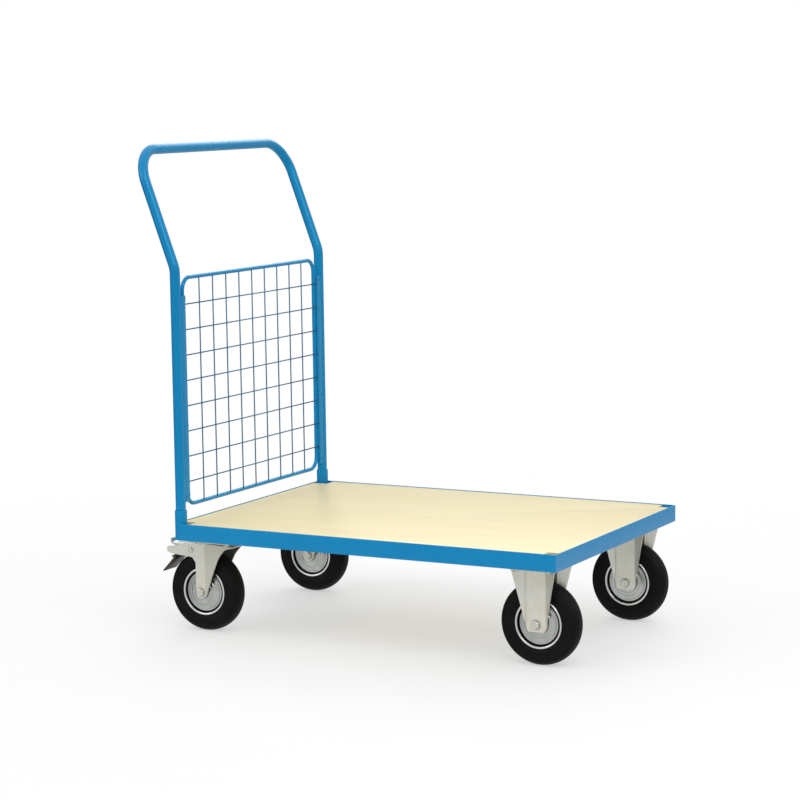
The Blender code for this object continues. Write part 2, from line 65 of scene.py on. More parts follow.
# Sockets, handle and mesh end
SOCKET_LOW, SOCKET_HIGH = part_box("corner_socket_far")
SOCKET_R = (SOCKET_HIGH.x - SOCKET_LOW.x) / 2
SOCKET_X = (SOCKET_LOW.x + SOCKET_HIGH.x) / 2
SOCKET_Y = (SOCKET_LOW.y + SOCKET_HIGH.y) / 2
TUBE_R = 12.5 * MM
KINK_Z = 904 * MM
KINK_BEND_R = 70 * MM
TOP_BEND_R = 85 * MM
GRIP_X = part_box("push_handle")[0].x + TUBE_R
GRIP_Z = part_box("push_handle")[1].z - TUBE_R
BAR_R = 5 * MM
MESH_LOW, MESH_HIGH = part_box("mesh_frame")
MESH_BEND_R = 32 * MM
WIRE_R = 1.6 * MM
WIRE_PITCH = 62.3 * MM
WIRE_FIRST_Z = 380 * MM
WIRES_UP, WIRES_ACROSS = 9, 8
STRIP_SPOT_Z = 520 * MM        # middle weld spots of the flat strips

# Castors
LEG_OUT = 34 * MM
LEG_T = 3.5 * MM
CREASE = 0.9 * MM                     # depth of the pressed lines where the legs flare
TOP_BEND = 6 * MM                     # outer radius where a fork's legs meet its web
BRAKE_PIVOT = (-27 * MM, 104 * MM)
BOLT_X, BOLT_Y = 40 * MM, 52.5 * MM   # fixing bolts from the plate's middle
AXLE_R, AXLE_HOLE_R = 6 * MM, 6.3 * MM
PIN_R, PIN_HOLE_R = 6 * MM, 6.4 * MM  # king pin of a swivel castor
RIVET_HOLE_R = 4.3 * MM               # rivet that the brake lever turns on


# Shader nodes ----------------------------------------------------------------------------------


def feed(tree, socket, value):
    """Links the socket to `value`, or sets it where `value` is a plain number, colour or vector."""
    if isinstance(value, bpy.types.NodeSocket):
        tree.links.new(value, socket)
    else:
        socket.default_value = value


def mapped(tree, value, span, levels):
    """`value` mapped from the span to the two levels."""
    made = tree.nodes.new("ShaderNodeMapRange")
    for key, entry in zip(("Value", "From Min", "From Max", "To Min", "To Max"), (value, *span, *levels)):
        feed(tree, made.inputs[key], entry)
    return made.outputs["Result"]


def mixed_shader(tree, factor, first, second):
    """`first` where the factor is 0 and `second` where it is 1."""
    made = tree.nodes.new("ShaderNodeMixShader")
    for socket, source in zip(made.inputs, (factor, first, second)):
        tree.links.new(source, socket)
    return made.outputs[0]


class Look:
    """A material whose colour, roughness and relief come from nodes."""

    def __init__(self, name, metallic=0.0, coat=0.0, specular=0.5):
        self.material = bpy.data.materials.new(name)
        self.material.use_nodes = True
        self.tree = self.material.node_tree
        self.shader = self.tree.nodes["Principled BSDF"]
        self.shader.inputs["Metallic"].default_value = metallic
        self.shader.inputs["Coat Weight"].default_value = coat
        self.shader.inputs["Coat Roughness"].default_value = 0.18
        self.shader.inputs["Specular IOR Level"].default_value = specular
        self.place = self.tree.nodes.new("ShaderNodeTexCoord").outputs["Object"]

    def node(self, kind, **inputs):
        """New node with its inputs linked or set by name."""
        made = self.tree.nodes.new(kind)
        for key, value in inputs.items():
            feed(self.tree, made.inputs[key], value)
        return made

    def stretched(self, scale):
        """The object's coordinates, scaled along each axis."""
        return self.node("ShaderNodeMapping", Vector=self.place, Scale=scale).outputs["Vector"]

    def noise(self, scale, detail=3.0, place=None):
        place = place or self.place
        made = self.node("ShaderNodeTexNoise", Vector=place, Scale=scale, Detail=detail, Roughness=0.55)
        return made.outputs["Fac"]

    def spread(self, value, low, high, start=0.3, end=0.7):
        """Maps a texture's range start..end to low..high."""
        return mapped(self.tree, value, (start, end), (low, high))

    def blend(self, factor, a, b):
        """Colour `a` where the factor is 0 and `b` where it is 1."""
        made = self.tree.nodes.new("ShaderNodeMix")
        made.data_type = "RGBA"
        feed(self.tree, made.inputs["Factor"], factor)
        sockets = [socket for socket in made.inputs if socket.type == "RGBA"]
        for socket, colour in zip(sockets, (a, b)):
            feed(self.tree, socket, colour if isinstance(colour, bpy.types.NodeSocket) else (*colour, 1))
        return [socket for socket in made.outputs if socket.type == "RGBA"][0]

    def edges(self, radius):
        """1 near sharp edges, 0 on flat faces."""
        rounded = self.tree.nodes.new("ShaderNodeBevel")
        rounded.samples = 4
        rounded.inputs["Radius"].default_value = radius
        flat = self.tree.nodes.new("ShaderNodeNewGeometry")
        dot = self.tree.nodes.new("ShaderNodeVectorMath")
        dot.operation = "DOT_PRODUCT"
        self.tree.links.new(rounded.outputs["Normal"], dot.inputs[0])
        self.tree.links.new(flat.outputs["Normal"], dot.inputs[1])
        return self.spread(dot.outputs["Value"], 1.0, 0.0, 0.75, 0.99)

    def creases(self, reach, deep=0.45, open_face=0.92):
        """Painted-shade mask from ambient occlusion: 1 deep in folds and joints, 0 on open faces."""
        hollow = self.tree.nodes.new("ShaderNodeAmbientOcclusion")
        hollow.samples = 6
        hollow.inputs["Distance"].default_value = reach
        return self.spread(hollow.outputs["AO"], 1.0, 0.0, deep, open_face)

    def finish(self, colour, roughness, height=None, strength=0.1, distance=0.2 * MM):
        """Joins colour, roughness and relief to the shader and returns the material."""
        feed(self.tree, self.shader.inputs["Base Color"], colour)
        feed(self.tree, self.shader.inputs["Roughness"], roughness)
        if height is not None:
            bump = self.node("ShaderNodeBump", Height=height, Strength=strength, Distance=distance)
            self.tree.links.new(bump.outputs["Normal"], self.shader.inputs["Normal"])
        return self.material


def powder_coat(name, base, light, folds):
    """Semi-gloss coat with faint orange peel; lighter along edges, partly coat that lies thin there and
    partly a painted highlight; if asked, painted shade darkens its folds.
    """
    look = Look(name, specular=0.9)
    look.shader.inputs["Specular Tint"].default_value = (0.25, 0.80, 1.0, 1)
    cloud = look.spread(look.noise(5), 0.0, 0.35)
    colour = look.blend(cloud, base, light)
    # Lighter along edges: partly coat that lies thin there, partly a painted highlight on the rounded edges.
    colour = look.blend(look.spread(look.edges(1.2 * MM), 0.0, 0.12, 0, 1), colour, light)
    # Painted shade: the colour darkens deep in folds and joints, where shade falls.
    if folds:
        colour = look.blend(look.creases(3 * MM, 0.25, 0.62), colour, tuple(c * 0.2 for c in base))
    rough = look.spread(look.noise(60), 0.24, 0.30)
    return look.finish(colour, rough, look.noise(260, 1), 0.02, 0.05 * MM)


def zinc(name, base, warm, rough_low, rough_high):
    """Zinc plate: cool steel with faint warm clouds, fine rolling lines and painted shade in its creases."""
    look = Look(name, metallic=0.65)
    clouds = look.spread(look.noise(26, 4), 0.0, 1.0, 0.35, 0.65)
    lines = look.noise(40, 4, look.stretched((14, 14, 1)))
    colour = look.blend(clouds, base, warm)
    darker = tuple(c * 0.82 for c in base)
    colour = look.blend(look.spread(lines, 0.0, 0.45), colour, darker)
    # Painted shade: the colour darkens in creases and joints, where shade falls.
    colour = look.blend(look.creases(4 * MM), colour, tuple(c * 0.22 for c in base))
    rough = look.spread(lines, rough_low, rough_high)
    return look.finish(colour, rough, lines, 0.05, 0.1 * MM)


def smooth_zinc(name, base, dull):
    """Smooth pressed zinc with faint cloudy patches."""
    look = Look(name, metallic=1.0)
    clouds = look.spread(look.noise(34, 3), 0.0, 1.0)
    colour = look.blend(clouds, base, dull)
    return look.finish(colour, look.spread(clouds, 0.18, 0.27))


def rubber(name, base, dusty, grain):
    """Matt rubber with faint dusty clouds and a fine grain."""
    look = Look(name, specular=0.13)
    dust = look.spread(look.noise(22, 5), 0.0, 0.6, 0.42, 0.72)
    colour = look.blend(dust, base, dusty)
    rough = look.spread(look.noise(90), 0.46, 0.66)
    return look.finish(colour, rough, look.noise(grain, 3), 0.18, 0.15 * MM)


def board_face():
    """Pale beech print: long soft figure along the deck with short darker flecks."""
    look = Look("beech_laminate_face", coat=0.12)
    figure = look.noise(3.2, 5, look.stretched((0.9, 7, 7)))
    flecks = look.noise(70, 2, look.stretched((0.22, 3.2, 3.2)))
    colour = look.blend(look.spread(figure, 0, 1, 0.3, 0.7), (0.845, 0.735, 0.424), (0.800, 0.690, 0.376))
    colour = look.blend(look.spread(flecks, 0.0, 0.35, 0.60, 0.75), colour, (0.66, 0.50, 0.28))
    rough = look.spread(figure, 0.38, 0.5)
    return look.finish(colour, rough, flecks, 0.05, 0.08 * MM)


def board_edge():
    """Cut edge of the board: pale and darker veneers by turns."""
    look = Look("board_cut_edge")
    split = look.node("ShaderNodeSeparateXYZ", Vector=look.place)
    layer = look.node("ShaderNodeMath")
    layer.operation = "PINGPONG"
    look.tree.links.new(split.outputs["Z"], layer.inputs[0])
    layer.inputs[1].default_value = 1.5 * MM
    veneer = look.spread(layer.outputs["Value"], 0, 1, 0.5 * MM, 1.0 * MM)
    colour = look.blend(veneer, (0.78, 0.66, 0.44), (0.60, 0.46, 0.27))
    return look.finish(colour, 0.7, look.noise(500, 3), 0.25)


BLUE = powder_coat("blue_powder_coat", (0.0, 0.232, 0.540), (0.005, 0.290, 0.600), folds=False)
# The rim coat gets painted shade in its folds.
RIM_BLUE = powder_coat("blue_rim_coat", (0.0, 0.232, 0.540), (0.005, 0.290, 0.600), folds=True)
WIRE_BLUE = powder_coat("blue_coated_wire", (0.03, 0.115, 0.23), (0.09, 0.20, 0.33), folds=False)
FACE = board_face()
EDGE = board_edge()
ZINC = zinc("zinc_plated_steel", (0.86, 0.87, 0.81), (0.84, 0.805, 0.65), 0.28, 0.44)
# Painted shade: a dark copy of the zinc for the fork wings' inner faces, which lie in shadow.
SHADED_WING_ZINC = zinc("shaded_zinc_inside", (0.16, 0.16, 0.15), (0.12, 0.11, 0.10), 0.45, 0.6)
BOLT_ZINC = zinc("zinc_plated_bolts", (0.78, 0.79, 0.76), (0.68, 0.66, 0.54), 0.20, 0.34)
# Lit and shaded copies of one zinc: the lip is painted lighter as a highlight, the disc darker as shade.
LIT_LIP_ZINC = smooth_zinc("zinc_lip_painted_highlight", (0.84, 0.85, 0.84), (0.74, 0.75, 0.74))
SHADED_DISC_ZINC = smooth_zinc("zinc_disc_painted_shade", (0.58, 0.60, 0.58), (0.48, 0.50, 0.47))
TYRE = rubber("tyre_rubber", (0.0035, 0.0034, 0.0032), (0.009, 0.0085, 0.008), 520)
# Painted shade: black for the groove between the rim's lip and its disc, where shade falls.
GROOVE_SHADE = rubber("rim_groove_painted_shade", (0.006, 0.006, 0.006), (0.012, 0.012, 0.012), 700)
SHOE = rubber("brake_shoe_rubber", (0.02, 0.02, 0.02), (0.05, 0.05, 0.05), 400)
PEDAL = zinc("dark_pedal_steel", (0.085, 0.070, 0.055), (0.055, 0.045, 0.038), 0.36, 0.55)


# Geometry helpers ------------------------------------------------------------------------------


def piece(name, bm, body, looks, stands_for, smooth=35, choose=None):
    """Turns `bm` into a named piece that rides on `body`.  `choose` picks each face's material."""
    bmesh.ops.recalc_face_normals(bm, faces=bm.faces)
    mesh = bpy.data.meshes.new(name)
    bm.to_mesh(mesh)
    bm.free()
    ob = bpy.data.objects.new(name, mesh)
    bpy.context.collection.objects.link(ob)
    for look in looks:
        mesh.materials.append(look)
    shade(ob, smooth, choose)
    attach(ob, body)
    if stands_for:
        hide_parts(*stands_for)
    return ob


def shade(ob, smooth, choose=None):
    """Smooth shading, sharp above the angle; `choose` picks each face's material."""
    mesh = ob.data
    for face in mesh.polygons:
        face.use_smooth = True
        if choose:
            face.material_index = choose(face)
    mesh.set_sharp_from_angle(angle=math.radians(smooth))


def soften(ob, width):
    """Rounds the edges of a pressed or cut piece."""
    mod = ob.modifiers.new("soft_edges", "BEVEL")
    mod.width = width
    mod.segments = 2
    mod.limit_method = "ANGLE"
    mod.angle_limit = math.radians(30)
    mod.use_clamp_overlap = True
    settle(ob)
    shade(ob, 40)


def settle(ob):
    """Keeps the shape its modifiers give, and drops the modifiers."""
    looks = list(ob.data.materials)
    depsgraph = bpy.context.evaluated_depsgraph_get()
    mesh = bpy.data.meshes.new_from_object(ob.evaluated_get(depsgraph))
    ob.modifiers.clear()
    ob.data = mesh
    mesh.materials.clear()
    for look in looks:
        mesh.materials.append(look)


def cut(ob, tool, operation="DIFFERENCE"):
    """Boolean of `ob` with the tool, a bmesh that is used up."""
    mesh = bpy.data.meshes.new("tool")
    bmesh.ops.recalc_face_normals(tool, faces=tool.faces)
    tool.to_mesh(mesh)
    tool.free()
    cutter = bpy.data.objects.new("tool", mesh)
    bpy.context.collection.objects.link(cutter)
    mod = ob.modifiers.new("cut", "BOOLEAN")
    mod.operation = operation
    mod.solver = "EXACT"
    mod.object = cutter
    settle(ob)
    bpy.data.objects.remove(cutter)


def arc(centre, radius, start, end, steps):
    """Points on an arc between two angles in degrees."""
    out = []
    for k in range(steps + 1):
        a = math.radians(start + (end - start) * k / steps)
        out.append((centre[0] + radius * math.cos(a), centre[1] + radius * math.sin(a)))
    return out


def rounded(points, radius, steps=4):
    """Closed outline with every corner replaced by an arc; `radius` is one number or one for each corner."""
    out = []
    count = len(points)
    for i, point in enumerate(points):
        r = radius if isinstance(radius, (int, float)) else radius[i]
        p, before, after = Vector(point), Vector(points[i - 1]), Vector(points[(i + 1) % count])
        u, v = (before - p).normalized(), (after - p).normalized()
        half = u.angle(v) / 2
        if r <= 0 or half > math.radians(88):
            out.append(tuple(p))
            continue
        reach = min(r / math.tan(half), 0.45 * (before - p).length, 0.45 * (after - p).length)
        r = reach * math.tan(half)
        middle = p + (u + v).normalized() * (r / math.sin(half))
        a, b = p + u * reach - middle, p + v * reach - middle
        turn = a.angle_signed(b)
        for k in range(steps + 1):
            t = -turn * k / steps
            c, s = math.cos(t), math.sin(t)
            out.append((middle.x + a.x * c - a.y * s, middle.y + a.x * s + a.y * c))
    return out


def curve_through(points, steps=3):
    """Smooth open curve through (radius, y) points."""
    ends = [points[0]] + list(points) + [points[-1]]
    out = []
    for i in range(1, len(ends) - 2):
        p0, p1, p2, p3 = (Vector(p) for p in ends[i - 1:i + 3])
        for k in range(steps):
            t = k / steps
            q = 0.5 * ((2 * p1) + (p2 - p0) * t + (2 * p0 - 5 * p1 + 4 * p2 - p3) * t * t
                       + (3 * p1 - p0 - 3 * p2 + p3) * t ** 3)
            out.append(tuple(q))
    out.append(tuple(points[-1]))
    return out


def skin(bm, rings, closed=False):
    """Adds a closed body over rings of equal length; open runs get flat ends."""
    rows = [[bm.verts.new(v) for v in ring] for ring in rings]
    count = len(rows[0])
    pairs = list(zip(rows, rows[1:]))
    if closed:
        pairs.append((rows[-1], rows[0]))
    else:
        bm.faces.new(rows[0])
        bm.faces.new(rows[-1])
    for a, b in pairs:
        for i in range(count):
            j = (i + 1) % count
            bm.faces.new((a[i], a[j], b[j], b[i]))
    return bm


def loft(rings, closed=False):
    """New closed body over rings of equal length."""
    return skin(bmesh.new(), rings, closed)


def prism(outline, axis, low, high):
    """Outline drawn out along an axis from `low` to `high`."""
    place = {
        "Z": lambda p, t: (p[0], p[1], t),
        "Y": lambda p, t: (p[0], t, p[1]),
        "X": lambda p, t: (t, p[0], p[1]),
    }[axis]
    return loft([[place(p, low) for p in outline], [place(p, high) for p in outline]])


def ring(radius, height, count, axis, centre, sides=0):
    """Ring about the Y or Z axis; with `sides` it is a polygon whose flats are `radius` from the axis."""
    out = []
    for k in range(count):
        a = 2 * math.pi * k / count
        r = radius
        if sides:
            step = 2 * math.pi / sides
            r = radius / math.cos((a + step / 2) % step - step / 2)
        u, v = r * math.cos(a), r * math.sin(a)
        point = (u, height, v) if axis == "Y" else (u, v, height)
        out.append(Vector(point) + Vector(centre))
    return out


def lathe(profile, axis, centre, count):
    """Body of revolution from a closed loop of (radius, height)."""
    return loft([ring(r, h, count, axis, centre) for r, h in profile], closed=True)


def hexagon(bm, centre, axis, flats, low, high, bore=0.0):
    """Hex head or nut between `low` and `high`, chamfered at the high end and domed if it has no bore."""
    count = 48
    rise = MM if high > low else -MM
    hexagonal = ((0.97, low), (1, low + 0.4 * rise), (1, high - 1.3 * rise))
    chamfer = ((0.985, high - 0.5 * rise), (0.90, high))
    rings = [ring(flats * wide, level, count, axis, centre, 6) for wide, level in hexagonal]
    rings += [ring(flats * wide, level, count, axis, centre) for wide, level in chamfer]
    if bore:
        rings += [ring(bore, high, count, axis, centre), ring(bore, low, count, axis, centre)]
        return skin(bm, rings, closed=True)
    rings.append(ring(flats * 0.55, high - 0.25 * rise, count, axis, centre))
    return skin(bm, rings)


def rod(bm, centre, axis, radius, low, high, count=32):
    """Round rod with chamfered ends."""
    c = min(0.8 * MM, abs(high - low) / 3)
    rise = c if high > low else -c
    marks = ((radius - c, low), (radius, low + rise), (radius, high - rise), (radius - c, high))
    return skin(bm, [ring(r, h, count, axis, centre) for r, h in marks])


def rounded_path(corners, radii, steps):
    """Path through the corners, with an arc of its radius at each inner one."""
    pts = [Vector(corners[0])]
    for i in range(1, len(corners) - 1):
        c = Vector(corners[i])
        u = (Vector(corners[i - 1]) - c).normalized()
        v = (Vector(corners[i + 1]) - c).normalized()
        half = u.angle(v) / 2
        reach = radii[i - 1] / math.tan(half)
        middle = c + (u + v).normalized() * (radii[i - 1] / math.sin(half))
        a = c + u * reach - middle
        axis = a.cross(c + v * reach - middle).normalized()
        sweep = math.pi - 2 * half
        pts += [middle + Matrix.Rotation(sweep * k / steps, 3, axis) @ a for k in range(steps + 1)]
    pts.append(Vector(corners[-1]))
    return pts


def tube_rings(path, radius, count, closed=False, ripple=0.0):
    """Rings along a path.  `ripple` makes every other ring thinner, as on a weld bead."""
    n = len(path)
    tangents = []
    for i in range(n):
        before = path[i - 1] if (i or closed) else path[i]
        after = path[(i + 1) % n] if (i < n - 1 or closed) else path[i]
        tangents.append((after - before).normalized())
    side = tangents[0].orthogonal().normalized()
    rings = []
    for i, (p, t) in enumerate(zip(path, tangents)):
        side = (side - t * side.dot(t)).normalized()
        other = t.cross(side)
        r = radius * (1 - ripple * (i % 2))
        spokes = (2 * math.pi * k / count for k in range(count))
        rings.append([p + (side * math.cos(a) + other * math.sin(a)) * r for a in spokes])
    return rings


def bead(bm, start, end, radius):
    """Rippled weld bead along a straight joint."""
    pitch = 1.6 * MM
    a, b = Vector(start), Vector(end)
    steps = max(4, round((b - a).length / pitch))
    path = [a.lerp(b, k / steps) for k in range(steps + 1)]
    return skin(bm, tube_rings(path, radius, 10, ripple=0.16))


def spot(bm, centre, radius, squash):
    """Small weld spot."""
    matrix = Matrix.Translation(centre) @ Matrix.Diagonal((*squash, 1))
    bmesh.ops.create_icosphere(bm, subdivisions=2, radius=radius, matrix=matrix)
    return bm


def shifted(bm, at):
    """The body moved by `at`."""
    bmesh.ops.translate(bm, verts=bm.verts, vec=at)
    return bm


def drill(ob, centre, axis, radius, low, high, count):
    """Round hole through `ob` between two levels along the axis."""
    cut(ob, loft([ring(radius, level, count, axis, centre) for level in (low, high)]))


def outline_mm(points):
    """Outline given in millimetres, with a small arc at every corner but the first and the last."""
    scaled = [(x * MM, z * MM) for x, z in points]
    return rounded(scaled, [0] + [0.9 * MM] * (len(points) - 2) + [0], 3)


# Deck and rim ----------------------------------------------------------------------------------


def rail_section():
    """(distance inward, height) round a folded rail: web with a ledge under the board."""
    ledge = BOARD_LOW - 0.3 * MM
    corners = (
        (0, RIM_LOW), (RAIL_T, RIM_LOW), (RAIL_T, ledge - RAIL_T), (LEDGE_W, ledge - RAIL_T),
        (LEDGE_W, ledge), (RAIL_T, ledge), (RAIL_T, DECK_TOP), (0, DECK_TOP),
    )
    radii = (0.9 * MM, 0.9 * MM, 1.5 * MM, 0.9 * MM, 0.9 * MM, 0.6 * MM, 0.6 * MM, 1.5 * MM)
    return rounded(corners, radii, 3)


def rails():
    """Four rails; the free-end corners are mitred and ground, the handle-end ones run into the sockets."""
    lap = 4 * MM
    for name, side in SIDES:
        start = [(SOCKET_X + lap, side * (Y_SIDE - u), z) for u, z in rail_section()]
        end = [(X_FREE - u, side * (Y_SIDE - u), z) for u, z in rail_section()]
        node = f"frame_rail_{name}"
        piece(f"rail_{name}", loft([start, end]), "chassis", [RIM_BLUE], [node])
    free = [[(X_FREE - u, s * (Y_SIDE - u), z) for u, z in rail_section()] for s in (-1, 1)]
    piece("rail_free_end", loft(free), "chassis", [RIM_BLUE], ["frame_rail_free_end"])
    reach = SOCKET_Y - lap
    back = [[(X_HANDLE + u, s * reach, z) for u, z in rail_section()] for s in (-1, 1)]
    piece("rail_handle_end", loft(back), "chassis", [RIM_BLUE], ["frame_rail_handle_end"])


def board():
    """Board with square notches: small at the free end, larger round the sockets."""
    x0, x1 = X_HANDLE + RAIL_T + BOARD_GAP, X_FREE - RAIL_T - BOARD_GAP
    y = Y_SIDE - RAIL_T - BOARD_GAP
    free_x, free_y = x1 - NOTCH_FREE, y - NOTCH_FREE
    socket_x, socket_y = x0 + NOTCH_SOCKET, y - NOTCH_SOCKET
    outline = (
        (socket_x, -y), (free_x, -y), (free_x, -free_y), (x1, -free_y),
        (x1, free_y), (free_x, free_y), (free_x, y), (socket_x, y),
        (socket_x, socket_y), (x0, socket_y), (x0, -socket_y), (socket_x, -socket_y),
    )
    bm = prism(outline, "Z", BOARD_LOW, DECK_TOP - BOARD_SUNK)
    ob = piece("board", bm, "chassis", [FACE, EDGE], ["deck_board"])
    soften(ob, 0.6 * MM)
    shade(ob, 40, lambda face: 0 if abs(face.normal.z) > 0.5 else 1)


def cross_members():
    """Folded channels under the board, open downwards."""
    wall = 2.4 * MM
    for end in ("fixed", "swivel"):
        low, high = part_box(f"cross_member_{end}")
        corners = (
            (low.x, low.z), (low.x + wall, low.z), (low.x + wall, high.z - wall),
            (high.x - wall, high.z - wall), (high.x - wall, low.z), (high.x, low.z),
            (high.x, high.z), (low.x, high.z),
        )
        radii = (0.8 * MM, 0.8 * MM, 1.2 * MM, 1.2 * MM, 0.8 * MM, 0.8 * MM, 3.4 * MM, 3.4 * MM)
        bm = prism(rounded(corners, radii, 4), "Y", low.y, high.y)
        node = f"cross_member_{end}"
        piece(f"channel_{end}", bm, "chassis", [BLUE], [node])


def plate_outline(low, high, radius):
    """Plan of a box with rounded corners."""
    corners = ((low.x, low.y), (high.x, low.y), (high.x, high.y), (low.x, high.y))
    return rounded(corners, radius, 8)


def castor_mounts():
    """Painted pads between the cross members and the castors."""
    for end in ("fixed", "swivel"):
        for name, _ in SIDES:
            node = f"castor_mount_{end}_{name}"
            low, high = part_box(node)
            bm = prism(plate_outline(low, high, 8 * MM), "Z", low.z, high.z)
            ob = piece(f"pad_{end}_{name}", bm, "chassis", [BLUE], [node])
            soften(ob, 0.6 * MM)


def sockets():
    """Corner tubes that the handle's legs stand in."""
    bore = TUBE_R + 0.3 * MM
    for name, side in SIDES:
        low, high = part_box(f"corner_socket_{name}")
        corners = ((bore, low.z), (SOCKET_R, low.z), (SOCKET_R, high.z), (bore, high.z))
        profile = rounded(corners, (0.4 * MM, 0.8 * MM, 1.0 * MM, 0.4 * MM), 4)
        bm = lathe(profile, "Z", (SOCKET_X, side * SOCKET_Y, 0), 72)
        node = f"corner_socket_{name}"
        piece(f"socket_{name}", bm, "chassis", [BLUE], [node])


def rim_welds():
    """Painted beads: sockets to rails, and the mitres inside the free-end corners."""
    bm = bmesh.new()
    inset = 1.1 * MM
    low, high = RIM_LOW + 2 * MM, DECK_TOP - 2 * MM
    for _, side in SIDES:
        x, y = SOCKET_X + 6.5 * MM, side * (Y_SIDE - inset)
        bead(bm, (x, y, low), (x, y, high), 1.15 * MM)
        x, y = X_HANDLE + inset, side * (SOCKET_Y - 6.5 * MM)
        bead(bm, (x, y, low), (x, y, high), 1.15 * MM)
        x, y = X_FREE - RAIL_T, side * (Y_SIDE - RAIL_T)
        bead(bm, (x, y, RIM_LOW + 1 * MM), (x, y, BOARD_LOW - 4 * MM), 1.3 * MM)
    piece("rim_welds", bm, "chassis", [BLUE], [], 60)


# Push handle and mesh end ----------------------------------------------------------------------


def handle():
    """Bent tube from one socket to the other, cranked backwards above the mesh."""
    foot = RIM_LOW + 6 * MM
    corners = (
        (SOCKET_X, -SOCKET_Y, foot), (SOCKET_X, -SOCKET_Y, KINK_Z), (GRIP_X, -SOCKET_Y, GRIP_Z),
        (GRIP_X, SOCKET_Y, GRIP_Z), (SOCKET_X, SOCKET_Y, KINK_Z), (SOCKET_X, SOCKET_Y, foot),
    )
    path = rounded_path(corners, (KINK_BEND_R, TOP_BEND_R, TOP_BEND_R, KINK_BEND_R), 20)
    rings = tube_rings(path, TUBE_R, 48) + tube_rings(path, TUBE_R - 2 * MM, 48)[::-1]
    piece("handle_tube", loft(rings, closed=True), "chassis", [BLUE], ["push_handle"])


def mesh_bar():
    """Round bar closed to a frame with four rounded corners."""
    y, r = MESH_HIGH.y - BAR_R, MESH_BEND_R
    z0, z1 = MESH_LOW.z + BAR_R, MESH_HIGH.z - BAR_R
    path = []
    corners = ((y - r, z1 - r, 0), (-y + r, z1 - r, 90), (-y + r, z0 + r, 180), (y - r, z0 + r, 270))
    for cy, cz, start in corners:
        path += [Vector((SOCKET_X, p, q)) for p, q in arc((cy, cz), r, start, start + 90, 14)]
    bm = loft(tube_rings(path, BAR_R, 28, closed=True), closed=True)
    piece("mesh_bar", bm, "chassis", [BLUE], ["mesh_frame"], 60)


def mesh_wires():
    """Upright wires inside the bar and cross wires in front of it, with a spot weld at every crossing."""
    bm = bmesh.new()
    cross_x = SOCKET_X + BAR_R + WIRE_R
    up_x = cross_x - 1.7 * WIRE_R
    low, high = MESH_LOW.z + 1.6 * BAR_R, MESH_HIGH.z - 1.6 * BAR_R
    reach = MESH_HIGH.y - BAR_R + 2 * MM
    ups = [(k - (WIRES_UP - 1) / 2) * WIRE_PITCH for k in range(WIRES_UP)]
    crosses = [WIRE_FIRST_Z + k * WIRE_PITCH for k in range(WIRES_ACROSS)]
    for y in ups:
        rod(bm, (up_x, y, 0), "Z", WIRE_R, low, high, 14)
    for z in crosses:
        rod(bm, (cross_x, 0, z), "Y", WIRE_R, -reach, reach, 14)
    for z in crosses:
        for y in ups:
            spot(bm, (cross_x - 0.8 * WIRE_R, y, z), 2.0 * MM, (0.9, 1.15, 1.15))
        for y in (-reach + 2 * MM, reach - 2 * MM):
            spot(bm, (cross_x - 0.6 * WIRE_R, y, z), 2.5 * MM, (0.9, 1.2, 1.1))
    piece("wires", bm, "chassis", [WIRE_BLUE], ["mesh_wires"], 60)


def strips():
    """Flat strips between the mesh bar and the uprights, with their weld spots."""
    for name, side in SIDES:
        low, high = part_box(f"mesh_strip_{name}")
        corners = ((low.x, low.y), (high.x, low.y), (high.x, high.y), (low.x, high.y))
        bm = prism(rounded(corners, 0.5 * MM, 3), "Z", low.z, high.z)
        inner = low.y if side > 0 else high.y
        for z in (low.z + 16 * MM, STRIP_SPOT_Z, high.z - 8 * MM):
            spot(bm, (high.x, inner + side * 3 * MM, z), 3.2 * MM, (0.45, 1, 1.5))
            spot(bm, (high.x, inner + side * 16 * MM, z), 3.4 * MM, (0.45, 1, 1.5))
        node = f"mesh_strip_{name}"
        piece(f"strip_{name}", bm, "chassis", [BLUE], [node], 50)


# Wheels ----------------------------------------------------------------------------------------


def tyre(kind, name, at):
    """Rubber tyre with rounded walls, a fine line round each wall and a mould seam on the tread."""
    half = [(60.2, 16.6), (60.6, 18.9), (62.3, 20.6), (66, 22.4), (70.2, 23.5), (71.0, 23.1), (71.8, 23.6)]
    half += [(78, 24.0), (84, 23.6), (89.5, 21.9), (90.4, 21.2), (91.2, 21.2), (95.6, 16.6), (98.4, 11)]
    half += [(99.6, 5), (99.75, 0.7), (100, 0.4), (100, 0)]
    half = [(r * MM, y * MM) for r, y in half]
    curve = curve_through(half)
    profile = curve + [(r, -y) for r, y in reversed(curve[:-1])]
    node = f"{kind}_tyre_{name}"
    body = f"{kind}_wheel_{name}"
    piece(f"tread_{kind}_{name}", lathe(profile, "Y", at, 128), body, [TYRE], [node], 50)


